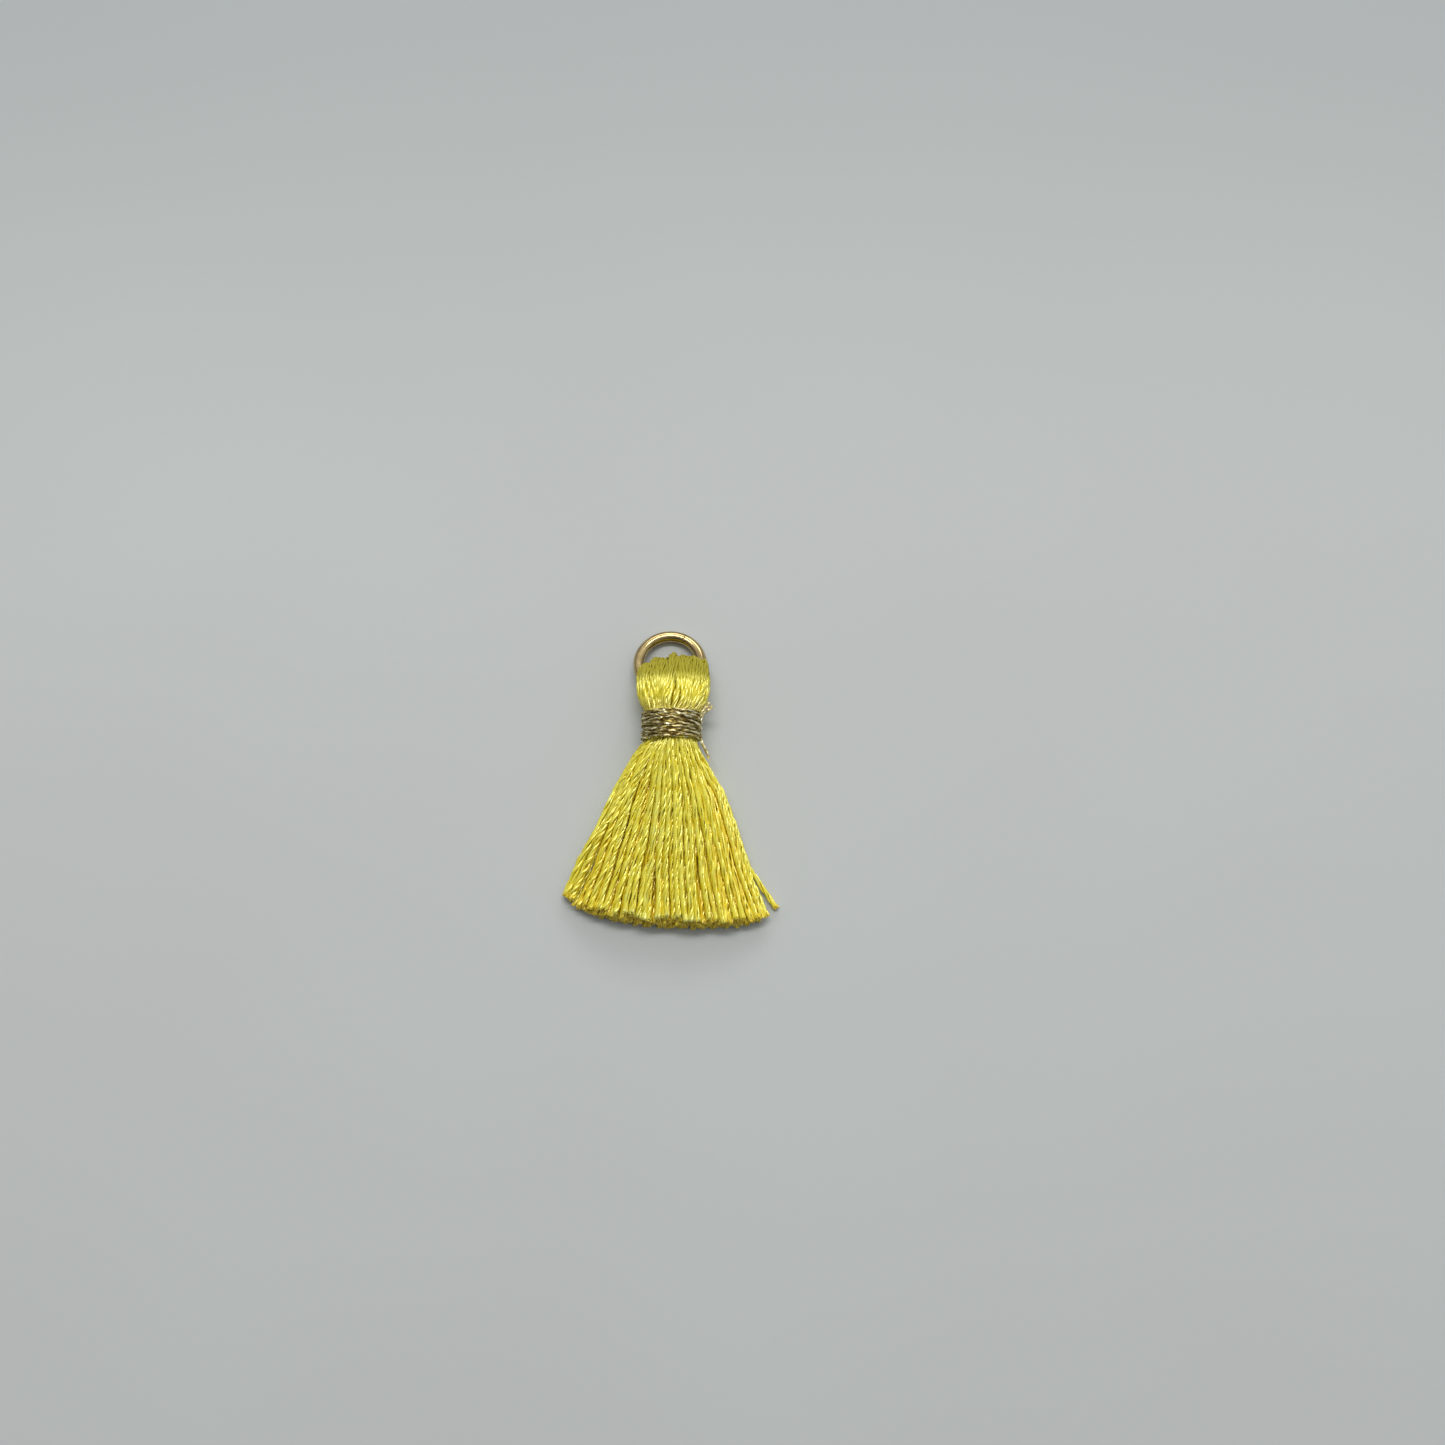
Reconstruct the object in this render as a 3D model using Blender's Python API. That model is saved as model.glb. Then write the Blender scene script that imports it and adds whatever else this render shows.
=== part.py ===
"""A small yarn tassel lying on a surface: a hank folded through a wire ring and bound below it.

Blender 4.5, metres, +Z up. The origin is on the surface, under the middle of the binding. The ring lies
towards +Y and the cut ends towards -Y. Sizes below are in millimetres and are turned into metres once,
where the meshes are made.
"""

import math
from collections import namedtuple

import bmesh
import bpy
import numpy as np
from mathutils import Matrix, Vector

MM = 0.001
GAP = 0.3  # clear space between pieces that touch on the real tassel

# Wire ring, bent to a circle and butted shut. It tilts so that its free side rests on the surface.
RING_OUTER_RADIUS = 4.0
WIRE_RADIUS = 0.6
RING_RADIUS = RING_OUTER_RADIUS - WIRE_RADIUS
RING_TILT = math.radians(15.3)
RING_X = -0.35
RING_Y = 7.25
RING_Z = WIRE_RADIUS + RING_RADIUS * math.sin(RING_TILT)
RING_SEAM_FROM_TOP = math.radians(27.0)
RING_SEAM_WIDTH = 0.08
RING_POINTS = 64

# Binding: metallic thread wound round the neck.
BINDING_X = -0.08
BINDING_HALF_WIDTH = 3.22
BINDING_CENTRE_Z = 2.7
BINDING_HALF_HEIGHT = 2.78  # more than the centre's height, so the underside is pressed flat
BINDING_THICKNESS = 0.38
BINDING_EDGES = {1: (1.5, 0.17), -1: (1.22, 0.44)}  # each edge's distance at the sides, and more over the top
TURNS = 10
TURN_DEPTH = 0.11
TURN_WANDER = 0.05
BINDING_SIDES = 36
TAIL_RADIUS = 0.14

# Neck of the hank, inside the binding.
NECK_END_Y = 1.75
NECK_LEFT = BINDING_X - BINDING_HALF_WIDTH + BINDING_THICKNESS + GAP
NECK_RIGHT = BINDING_X + BINDING_HALF_WIDTH - BINDING_THICKNESS - GAP
NECK_LOW = BINDING_CENTRE_Z - BINDING_HALF_HEIGHT + BINDING_THICKNESS + GAP
NECK_HIGH = BINDING_CENTRE_Z + BINDING_HALF_HEIGHT - BINDING_THICKNESS - GAP

# Head: folds of yarn over the ring's wire. One height per visible fold, left to right.
FOLD_TOP_Y = (6.8, 7.1, 7.4, 7.6, 7.65, 7.65, 7.85, 8.2, 8.25, 7.95, 7.95, 7.9, 7.9, 7.85, 7.75, 7.3)
FOLD_GROOVE = 0.14
HEAD_WIDEST_Y = 4.3

HeadRow = namedtuple("HeadRow", "y left right low high squareness")
# Rows of the head up to its widest place have a fixed y; above it, y is a share of the way to each fold's top.
NECK_ROWS = (
    HeadRow(-NECK_END_Y, NECK_LEFT, NECK_RIGHT, NECK_LOW, NECK_HIGH, 2.0),
    HeadRow(NECK_END_Y, NECK_LEFT, NECK_RIGHT, NECK_LOW, NECK_HIGH, 2.0),
    HeadRow(2.1, -3.4, 3.3, 0.45, 4.85, 2.1),
    HeadRow(3.0, -3.78, 3.78, 0.08, 4.95, 2.4),
    HeadRow(HEAD_WIDEST_Y, -3.97, 4.02, 0.0, 5.0, 2.6),
)
FOLD_ROWS = (
    HeadRow(0.40, -3.95, 3.98, 0.0, 4.62, 2.8),
    HeadRow(0.72, -3.85, 3.8, 0.12, 3.85, 3.2),
    HeadRow(0.93, -3.6, 3.45, 0.55, 2.9, 3.2),
    HeadRow(1.00, -2.85, 2.2, 1.5, 1.5, 2.0),
)

# Skirt: the cut ends of the hank, fanned out and settled on the surface.
STRANDS = 112
GOLDEN_ANGLE = math.pi * (3 - math.sqrt(5))
ROOT_Y = -1.3
SETTLE_ROUNDS = 90
STRAND_CLEARANCE = 0.03
UPPER_ENDS_SHORTER = 0.28  # how much earlier an end stops for each millimetre that it lies higher

Station = namedtuple("Station", "share left right low edge high radius")
# share runs from the root to the tip; edge is the height of the outline's two side edges.
STATIONS = (
    Station(0.00, NECK_LEFT, NECK_RIGHT, NECK_LOW, 2.70, NECK_HIGH, 0.145),
    Station(0.02, NECK_LEFT, NECK_RIGHT, NECK_LOW, 2.70, NECK_HIGH, 0.145),
    Station(0.06, -3.65, 3.30, 0.42, 2.45, 4.82, 0.165),
    Station(0.14, -4.55, 4.05, 0.12, 2.00, 4.72, 0.210),
    Station(0.30, -6.00, 5.75, 0.00, 1.30, 4.35, 0.245),
    Station(0.52, -7.65, 7.35, 0.00, 0.85, 3.95, 0.270),
    Station(0.76, -9.50, 9.00, 0.00, 0.65, 3.60, 0.285),
    Station(1.00, -11.50, 10.65, 0.00, 0.50, 3.30, 0.295),
)
TipLine = namedtuple("TipLine", "x y")
TIP_LINE = (
    TipLine(-11.3, -17.8),
    TipLine(-10.2, -18.8),
    TipLine(-7.6, -19.9),
    TipLine(-3.4, -20.8),
    TipLine(0.0, -21.2),
    TipLine(3.0, -21.3),
    TipLine(7.2, -21.1),
    TipLine(10.6, -20.3),
)
STRAY_BEND = (8.75, -15.6)
STRAY_TIP = (11.15, -19.1)

YARN_COLOUR = (0.86, 0.72, 0.10, 1.0)
BINDING_COLOUR = (0.47, 0.38, 0.17, 1.0)
RING_COLOUR = (0.72, 0.50, 0.24, 1.0)


def clear_scene():
    for obj in list(bpy.data.objects):
        bpy.data.objects.remove(obj)


def new_collection(name):
    collection = bpy.data.collections.new(name)
    bpy.context.scene.collection.children.link(collection)
    return collection


def material(name, colour, roughness, metallic):
    made = bpy.data.materials.new(name)
    made.use_nodes = True
    shader = made.node_tree.nodes["Principled BSDF"]
    shader.inputs["Base Color"].default_value = colour
    shader.inputs["Roughness"].default_value = roughness
    shader.inputs["Metallic"].default_value = metallic
    return made


def add_object(name, data, collection, finish=None):
    obj = bpy.data.objects.new(name, data)
    collection.objects.link(obj)
    if finish:
        data.materials.append(finish)
    return obj


def tube_curve(name, routes, radii, depth, resolution):
    """A curve with one open spline for each route in millimetres; radii scale the bevel point by point."""
    curve = bpy.data.curves.new(name, "CURVE")
    curve.dimensions = "3D"
    curve.bevel_depth = depth * MM
    curve.bevel_resolution = resolution
    curve.use_fill_caps = True
    for route, sizes in zip(routes, radii):
        spline = curve.splines.new("POLY")
        spline.points.add(len(route) - 1)
        for point, place, size in zip(spline.points, route, sizes):
            point.co = (*(MM * c for c in place), 1.0)
            point.radius = size / depth
    return curve


def as_mesh_object(obj, collection):
    """Turns a curve object into a mesh object with its caps welded."""
    graph = bpy.context.evaluated_depsgraph_get()
    mesh = bpy.data.meshes.new_from_object(obj.evaluated_get(graph))
    made = add_object(obj.name + "_mesh", mesh, collection)
    made.matrix_world = obj.matrix_world
    bpy.data.objects.remove(obj)
    shape = bmesh.new()
    shape.from_mesh(mesh)
    bmesh.ops.remove_doubles(shape, verts=shape.verts, dist=1e-7)
    bmesh.ops.recalc_face_normals(shape, faces=shape.faces)
    shape.to_mesh(mesh)
    shape.free()
    return made


def loft(name, rings, closed_along, collection, finish):
    """A mesh through rings of points in millimetres. Each ring is a closed loop. Open ends are capped."""
    shape = bmesh.new()
    loops = [[shape.verts.new(Vector(p) * MM) for p in ring] for ring in rings]
    count = len(loops[0])
    pairs = list(zip(loops, loops[1:] + loops[:1])) if closed_along else list(zip(loops, loops[1:]))
    for lower, upper in pairs:
        for i in range(count):
            j = (i + 1) % count
            shape.faces.new((lower[i], lower[j], upper[j], upper[i]))
    if not closed_along:
        shape.faces.new(loops[0])
        shape.faces.new(loops[-1])
    bmesh.ops.remove_doubles(shape, verts=shape.verts, dist=1e-7)
    bmesh.ops.recalc_face_normals(shape, faces=shape.faces)
    mesh = bpy.data.meshes.new(name)
    shape.to_mesh(mesh)
    shape.free()
    return add_object(name, mesh, collection, finish)


def boolean(obj, cutter, operation):
    modifier = obj.modifiers.new(f"{operation.lower()}_{cutter.name}", "BOOLEAN")
    modifier.operation = operation
    modifier.object = cutter
    modifier.solver = "EXACT"


def mark_as_helper(obj):
    obj.hide_render = True
    obj.display_type = "WIRE"


# Ring


def ring_frame():
    """Places a circle drawn in the XY plane where the ring lies, its free side tilted down to the surface."""
    return Matrix.Translation(Vector((RING_X, RING_Y, RING_Z)) * MM) @ Matrix.Rotation(-RING_TILT, 4, "X")


def make_ring(collection, finish):
    seam = math.pi / 2 - RING_SEAM_FROM_TOP
    half_gap = RING_SEAM_WIDTH / RING_RADIUS / 2
    angles = np.linspace(seam + half_gap, seam + 2 * math.pi - half_gap, RING_POINTS)
    route = [(RING_RADIUS * math.cos(a), RING_RADIUS * math.sin(a), 0.0) for a in angles]
    curve = tube_curve("ring", [route], [[WIRE_RADIUS] * len(route)], WIRE_RADIUS, 3)
    ring = add_object("ring", curve, collection, finish)
    ring.matrix_world = ring_frame()


def make_ring_tunnel(collection):
    """The space that the ring's wire takes up inside the folds, with the gap round it."""
    bpy.ops.mesh.primitive_torus_add(
        major_segments=48,
        minor_segments=12,
        major_radius=RING_RADIUS * MM,
        minor_radius=(WIRE_RADIUS + GAP) * MM,
    )
    tunnel = bpy.context.active_object
    tunnel.name = "ring_tunnel"
    tunnel.matrix_world = ring_frame()
    for owner in list(tunnel.users_collection):
        owner.objects.unlink(tunnel)
    collection.objects.link(tunnel)
    mark_as_helper(tunnel)
    return tunnel


# Binding


def binding_ring(y_share, lift):
    """One turn's loop round the neck. y_share is -1 to 1 along the binding; lift is the height above its inside."""
    points = []
    for k in range(BINDING_SIDES):
        angle = 2 * math.pi * k / BINDING_SIDES
        up = math.cos(angle)
        pressed = max(0.0, min(1.0, (-up - 0.75) / 0.15))
        rise = lift if lift == 0 else lift + pressed * (BINDING_THICKNESS - lift)
        half_width = BINDING_HALF_WIDTH - BINDING_THICKNESS + rise
        half_height = BINDING_HALF_HEIGHT - BINDING_THICKNESS + rise
        high_edge, low_edge = (side * (reach + ride * up * up) for side, (reach, ride) in BINDING_EDGES.items())
        wander = TURN_WANDER * math.sin(2 * angle + 5 * y_share) * (1 - y_share * y_share)
        y = low_edge + (y_share + 1) / 2 * (high_edge - low_edge) + wander
        z = max(0.0, BINDING_CENTRE_Z + half_height * up)
        points.append((BINDING_X + half_width * math.sin(angle), y, z))
    return points


def make_binding(collection, helpers, finish):
    steps = 2 * TURNS
    rings = [binding_ring(1.0, 0.0), binding_ring(-1.0, 0.0)]
    for step in range(steps + 1):
        at_edge = step in (0, steps)
        lift = BINDING_THICKNESS - (TURN_DEPTH if step % 2 == 0 else 0.0) - (TURN_DEPTH if at_edge else 0.0)
        rings.append(binding_ring(2 * step / steps - 1, lift))
    binding = loft("binding", rings, True, collection, finish)

    # The end of the thread, knotted at the upper right edge and left sticking out.
    route = [(2.82, 0.8, 3.55), (3.4, 1.5, 3.6), (3.9, 2.05, 3.5), (4.25, 2.5, 3.4)]
    tail_curve = tube_curve("binding_tail", [route], [[TAIL_RADIUS] * len(route)], TAIL_RADIUS, 1)
    tail = as_mesh_object(add_object("binding_tail", tail_curve, helpers), helpers)
    mark_as_helper(tail)
    boolean(binding, tail, "UNION")


# Head


def head_row_point(row, y, side, front, groove):
    """A point on the hank's skin. side runs -1 to 1 across the folds; front is 1 on the upper side, -1 below."""
    across = (side + math.sin(side * math.pi / 2)) / 2
    middle_z = (row.low + row.high) / 2
    half_height = (row.high - row.low) / 2
    bulge = max(0.0, half_height - groove) * (1 - abs(across) ** row.squareness) ** (1 / row.squareness)
    x = row.left + (across + 1) / 2 * (row.right - row.left)
    return (x, y, max(0.0, middle_z + front * bulge))


def make_head(collection, finish):
    """The folds as a ribbed skin: each column runs up the front, over the fold and down the back."""
    folds = len(FOLD_TOP_Y)
    columns = []
    for step in range(2 * folds + 1):
        side = -1 + step / folds
        at_groove = step % 2 == 0
        left_fold = FOLD_TOP_Y[max(0, (step - 1) // 2)]
        right_fold = FOLD_TOP_Y[min(folds - 1, step // 2)]
        top_y = min(left_fold, right_fold) - (FOLD_GROOVE if at_groove else 0.0)
        groove = FOLD_GROOVE if at_groove and abs(side) < 1 else 0.0
        front, back = [], []
        for row in NECK_ROWS:
            depth = 0.0 if row.y <= NECK_ROWS[1].y else groove
            front.append(head_row_point(row, row.y, side, 1, depth))
            back.append(head_row_point(row, row.y, side, -1, depth))
        for row in FOLD_ROWS:
            y = HEAD_WIDEST_Y + row.y * (top_y - HEAD_WIDEST_Y)
            front.append(head_row_point(row, y, side, 1, groove))
            back.append(head_row_point(row, y, side, -1, groove))
        columns.append(front + back[-2::-1])

    shape = bmesh.new()
    grid = [[shape.verts.new(Vector(p) * MM) for p in column] for column in columns]
    for left, right in zip(grid, grid[1:]):
        for k in range(len(left) - 1):
            shape.faces.new((left[k], right[k], right[k + 1], left[k + 1]))
    bmesh.ops.remove_doubles(shape, verts=shape.verts, dist=1e-7)
    bmesh.ops.holes_fill(shape, edges=[e for e in shape.edges if e.is_boundary], sides=0)
    bmesh.ops.recalc_face_normals(shape, faces=shape.faces)
    mesh = bpy.data.meshes.new("yarn")
    shape.to_mesh(mesh)
    shape.free()
    return add_object("yarn", mesh, collection, finish)


# Skirt


def settle(points, station):
    """Pushes strand centres apart until they clear each other, inside the station's outline and off the surface."""
    spacing = 2 * station.radius + STRAND_CLEARANCE
    middle = (station.left + station.right) / 2
    half_width = (station.right - station.left) / 2 - station.radius
    low, high = station.low + station.radius, station.high - station.radius
    edge = min(max(station.edge, low), high)
    reach = (points[:, 0].min(), points[:, 0].max())
    points[:, 0] = np.interp(points[:, 0], reach, (middle - half_width, middle + half_width))
    same = np.eye(len(points), dtype=bool)
    for _ in range(SETTLE_ROUNDS):
        apart = points[:, None, :] - points[None, :, :]
        distance = np.linalg.norm(apart, axis=2)
        distance[same] = spacing
        push = np.clip(spacing - distance, 0, None) / 2
        points = points + (apart / distance[..., None] * push[..., None]).sum(axis=1)
        across = np.clip((points[:, 0] - middle) / half_width, -1, 1)
        dome = np.sqrt(1 - across**2)
        points[:, 0] = middle + half_width * across
        points[:, 1] = np.clip(points[:, 1], edge - (edge - low) * dome, edge + (high - edge) * dome)
        points[:, 1] = np.maximum(points[:, 1], station.radius)
    return points


def carried_on(points, last, station):
    """The strand centres of one outline moved to the same places in the next."""
    moved = points.copy()
    share = (points[:, 0] - last.left) / (last.right - last.left)
    moved[:, 0] = station.left + share * (station.right - station.left)
    above = points[:, 1] >= last.edge
    up = (points[:, 1] - last.edge) / (last.high - last.edge)
    down = (points[:, 1] - last.edge) / (last.edge - last.low)
    moved[:, 1] = station.edge + np.where(
        above, up * (station.high - station.edge), down * (station.edge - station.low)
    )
    return moved


def strand_routes():
    """One route for each strand, from inside the neck to its cut end, as arrays of x, y, z."""
    order = np.arange(STRANDS)
    reach = np.sqrt((order + 0.5) / STRANDS)
    first = STATIONS[0]
    centres = np.stack(
        [
            (first.right - first.radius) * reach * np.cos(order * GOLDEN_ANGLE),
            first.edge + (first.high - first.edge - first.radius) * reach * np.sin(order * GOLDEN_ANGLE),
        ],
        axis=1,
    )
    sections = [settle(centres, first)]
    for last, station in zip(STATIONS, STATIONS[1:]):
        sections.append(settle(carried_on(sections[-1], last, station), station))

    tips = sections[-1]
    tip_y = np.interp(tips[:, 0], [t.x for t in TIP_LINE], [t.y for t in TIP_LINE])
    unevenness = 0.22 * np.sin(order * 12.9898 + 1.7)
    tip_y = tip_y + UPPER_ENDS_SHORTER * tips[:, 1] + unevenness
    routes = np.stack(
        [
            np.stack([s[:, 0], ROOT_Y + station.share * (tip_y - ROOT_Y), s[:, 1]], axis=1)
            for s, station in zip(sections, STATIONS)
        ],
        axis=1,
    )
    stray = int(np.argmax(tips[:, 0]))
    routes[stray, -2, :2] = STRAY_BEND
    routes[stray, -1] = (*STRAY_TIP, STATIONS[-1].radius)
    return routes


def make_skirt(helpers):
    routes = strand_routes()
    sizes = [[station.radius for station in STATIONS]] * STRANDS
    curve = tube_curve("skirt", routes, sizes, STATIONS[-1].radius, 0)
    skirt = as_mesh_object(add_object("skirt", curve, helpers), helpers)
    mark_as_helper(skirt)
    return skirt


def main():
    clear_scene()
    tassel = new_collection("tassel")
    helpers = new_collection("cutters")
    yarn_finish = material("yarn", YARN_COLOUR, 0.45, 0.0)
    binding_finish = material("metallic_thread", BINDING_COLOUR, 0.35, 0.8)
    ring_finish = material("gold_plate", RING_COLOUR, 0.25, 1.0)

    make_ring(tassel, ring_finish)
    make_binding(tassel, helpers, binding_finish)
    yarn = make_head(tassel, yarn_finish)
    boolean(yarn, make_ring_tunnel(helpers), "DIFFERENCE")
    boolean(yarn, make_skirt(helpers), "UNION")


main()
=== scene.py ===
"""The look of a small yarn tassel on a wire ring, lying on pale paper.

Every thread is modelled: the hank folds over the ring's wire, is bound with metallic thread, and fans out.
Sizes are in millimetres in the CAD model's frame, and become metres where a mesh or object is made.
"""

import math
from collections import namedtuple

import bpy
import numpy as np
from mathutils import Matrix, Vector


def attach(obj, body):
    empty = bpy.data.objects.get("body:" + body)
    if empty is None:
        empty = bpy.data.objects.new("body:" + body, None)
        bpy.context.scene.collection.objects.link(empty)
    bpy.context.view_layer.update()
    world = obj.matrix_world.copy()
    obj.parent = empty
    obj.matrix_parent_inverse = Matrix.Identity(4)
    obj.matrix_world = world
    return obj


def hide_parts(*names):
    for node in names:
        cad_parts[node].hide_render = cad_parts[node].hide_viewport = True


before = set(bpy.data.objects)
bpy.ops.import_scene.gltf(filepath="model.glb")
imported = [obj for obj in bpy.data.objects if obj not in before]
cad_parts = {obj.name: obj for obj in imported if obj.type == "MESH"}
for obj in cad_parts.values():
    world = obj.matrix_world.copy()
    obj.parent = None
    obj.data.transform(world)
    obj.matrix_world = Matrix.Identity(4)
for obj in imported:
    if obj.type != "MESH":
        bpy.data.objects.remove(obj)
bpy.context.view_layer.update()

MM = 0.001
TAU = 2 * math.pi
SEED = 29
rng = np.random.default_rng(SEED)

# Ring
WIRE_RADIUS = 0.6
RING_RADIUS = 3.4
RING_TILT = math.radians(15.3)
RING_CENTRE = np.array((-0.35, 7.25, WIRE_RADIUS + RING_RADIUS * math.sin(RING_TILT)))
RING_SEAM_FROM_TOP = math.radians(27.0)
RING_SEAM_WIDTH = 0.012
RING_STEPS = 176
RING_SIDES = 24
FILED_ANGLES = np.array((0.0, 0.008, 0.02))  # from each cut end of the wire
FILED_RADII = (0.95, 0.99, 1.0)  # shares of the wire's radius there, where its edges are filed

# Binding
BINDING_X = -0.08
BINDING_Z = 2.72
GOLD_RADIUS = 0.15
GOLD_LAYER = 0.22  # how far one layer of turns stands out from the one below
GOLD_STEP = 0.115
GOLD_WANDER = 0.02
HEAD_BULGE = 0.36  # how far turns near the head ride up in the middle, and those near the skirt down
SKIRT_BULGE = -0.16
BINDING_HALF_WIDTH = 2.98  # to the middle of the thread of the first layer
BINDING_HALF_HEIGHT = 2.45
FIRST_LAYER_Y = np.linspace(1.40, -1.34, 11)
Turn = namedtuple("Turn", "y_from y_to slant")
SECOND_LAYER = (
    Turn(-1.34, -1.05, 0.10),
    Turn(-1.05, -0.62, -0.12),
    Turn(-0.62, -0.30, 0.22),
    Turn(-0.30, 0.35, -0.25),
    Turn(0.35, 0.70, 0.38),
    Turn(0.70, 0.20, -0.42),
    Turn(0.20, 1.10, 0.35),
    Turn(1.10, 0.75, -0.36),
    Turn(0.75, 1.32, 0.25),
)
LOOSE_GOLD_THICKER = 0.035
LOOSE_GOLD_SAMPLES = 26
LOOSE_GOLD_ENDS = (  # two above the binding and one below, all at the right
    ((2.75, 0.7, 3.5), (3.0, 1.2, 3.4), (3.2, 1.55, 3.25), (3.6, 2.05, 3.12), (3.95, 2.6, 3.0)),
    ((2.95, 0.5, 3.0), (3.1, 1.0, 3.05), (3.28, 1.36, 3.0), (3.75, 1.78, 2.95), (4.28, 2.25, 2.9)),
    ((2.95, -0.7, 2.6), (3.05, -1.3, 2.6), (3.4, -2.1, 2.62), (3.72, -2.8, 2.5), (3.95, -3.4, 2.35)),
)

# Strands
STRANDS = 140
SECTIONS = 26
START_ROUNDS = 60
SECTION_ROUNDS = 40
SMOOTHING_ROUNDS = 30
GOLDEN_ANGLE = math.pi * (3 - math.sqrt(5))
SAMPLE_STEP = 0.26
DRIFT = (0.34, 0.22)  # how far strands stray from the fan's straight lines, sideways and up
PATH_WANDER = 0.07
THICKEST_STRAND = 1.14
SECTIONS_NEARER_NECK = 1.15
FLOOR_PRESS = 0.92  # a strand on the floor is pressed to this share of its radius
LOCK_SHIFT = 0.07  # how far neighbours draw together in locks
LOCK_WAVES = (82, 47)  # fine and coarse locks, in radians across the fan
PARTING_SHARE = 0.78  # where a parting opens near the fan's left edge, as a share of the length
PARTING_LENGTH = 0.08
PARTING_SHIFT = 0.30
STRAY_FROM_SHARE = 0.74
STRAY_LEAVES = np.array((9.3, -16.6, 0.62))
STRAY_TIP = np.array((11.15, -19.15, 0.4))
SKIRT_PIECES = ("skirt_under", "skirt_lower", "skirt_middle", "skirt_upper")

Station = namedtuple("Station", "share left right low edge high radius")
# Outlines of the skirt from inside the binding to the cut ends; edge is the height of the two side edges.
STATIONS = (
    Station(0.00, -2.72, 2.56, 0.50, 2.70, 4.98, 0.195),
    Station(0.06, -2.72, 2.56, 0.50, 2.70, 4.98, 0.195),
    Station(0.09, -3.05, 2.75, 0.40, 2.60, 5.02, 0.215),
    Station(0.13, -3.72, 3.05, 0.25, 2.35, 5.00, 0.235),
    Station(0.20, -4.60, 3.85, 0.10, 1.95, 4.85, 0.255),
    Station(0.35, -6.22, 5.72, 0.00, 1.30, 4.45, 0.280),
    Station(0.55, -7.95, 7.25, 0.00, 0.95, 4.05, 0.295),
    Station(0.78, -10.05, 8.80, 0.00, 0.75, 3.70, 0.300),
    Station(1.00, -11.75, 10.65, 0.00, 0.60, 3.40, 0.305),
)
TipLine = namedtuple("TipLine", "x y")
TIP_LINE = (
    TipLine(-11.3, -18.0),
    TipLine(-10.2, -19.15),
    TipLine(-7.6, -20.2),
    TipLine(-3.4, -20.95),
    TipLine(0.0, -21.2),
    TipLine(3.0, -21.3),
    TipLine(7.2, -21.1),
    TipLine(10.6, -20.3),
)
UPPER_ENDS_SHORTER = 0.28
LIT_ENDS_Z = 2.9  # cut ends above this height get a painted highlight, and those 0.8 lower get painted shade
SHADE_OVER = 0.8
# the painted highlight on high cut ends: how far back from the tip it reaches, and its strength
LIT_END_LENGTH = 0.45
LIT_END_STRENGTH = 0.7
SKIN_DEPTH = 0.40  # how deep under the outline the painted shade inside the bundle starts
SKIN_BLEND = 0.60

# Filaments at the cut ends
FILAMENTS = 10
FILAMENT_RADIUS = 0.055
FILAMENT_SIDES = 5
FILAMENT_SAMPLES = 6
FILAMENT_ENDS = (-0.08, 0.06)  # how far a filament may end short of its strand's end or past it
Splay = namedtuple("Splay", "back share")
SPLAYS = (Splay(1.3, 0.5), Splay(0.55, 0.6), Splay(0.0, 0.82))  # shares of the strand's radius

# Head
HeadRow = namedtuple("HeadRow", "y left right low high squareness")
NECK_ROWS = (
    HeadRow(-0.3, -2.72, 2.56, 0.50, 4.98, 2.0),
    HeadRow(1.1, -2.72, 2.56, 0.50, 4.98, 2.0),
    HeadRow(1.7, -3.10, 3.00, 0.36, 5.02, 2.0),
    HeadRow(2.3, -3.50, 3.45, 0.20, 5.06, 2.1),
    HeadRow(3.1, -3.85, 3.88, 0.05, 5.06, 2.3),
    HeadRow(4.3, -3.97, 4.02, 0.00, 5.00, 2.5),
)
HEAD_WIDEST_Y = NECK_ROWS[-1].y
FOLD_ROWS = (  # y is the share of the way from the widest place to the fold's top
    HeadRow(0.40, -3.95, 3.98, 0.00, 4.68, 2.6),
    HeadRow(0.70, -3.88, 3.82, 0.08, 4.00, 2.8),
    HeadRow(0.90, -3.75, 3.55, 0.40, 3.15, 2.8),
    HeadRow(0.98, -3.55, 3.35, 0.85, 2.35, 2.4),
)
FOLD_Z = 1.55
FOLD_HEIGHT = 3.75  # usual height of the fold's top over the widest place
FOLD_TOP = (  # the fold's top edge, y at each x
    (-3.9, 6.6), (-3.6, 7.2), (-3.3, 7.42), (-2.45, 7.42), (-2.1, 7.86), (-1.88, 8.09),
    (-1.34, 8.03), (-0.68, 7.86), (-0.36, 8.42), (0.08, 8.56), (0.46, 8.31), (0.73, 8.23),
    (1.05, 8.31), (2.03, 8.23), (2.47, 8.14), (3.2, 8.02), (3.45, 7.8), (3.7, 7.2),
)
HeadSide = namedtuple("HeadSide", "y left right")
HEAD_SIDES = (  # the outermost left and right of the head at each y
    HeadSide(-0.3, -2.72, 2.56),
    HeadSide(1.1, -2.72, 2.56),
    HeadSide(1.65, -2.95, 3.05),
    HeadSide(2.0, -3.1, 3.3),
    HeadSide(2.7, -3.5, 3.7),
    HeadSide(3.5, -3.82, 4.0),
    HeadSide(4.4, -3.88, 4.07),
    HeadSide(5.6, -3.88, 4.02),
    HeadSide(6.4, -3.80, 3.9),
    HeadSide(7.25, -3.62, 3.7),
    HeadSide(7.8, -3.4, 3.45),
    HeadSide(8.7, -3.2, 3.2),
)
HEAD_LAYERS = ((28, 0.22), (22, 0.55), (14, 0.90))  # threads, and how deep they lie under the outline
HEAD_SAMPLES = 80
HEAD_DRIFTS = 14  # random drifts drawn for each thread; its ten rows use the first ten
HEAD_DRIFT = 0.05
HEAD_ROUNDS = 45
HEAD_PUSH = 0.4
WIRE_PRESS = 0.95  # threads press into the wire's clearance to this share of their radius
WIDEST_ACROSS = 0.995
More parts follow.
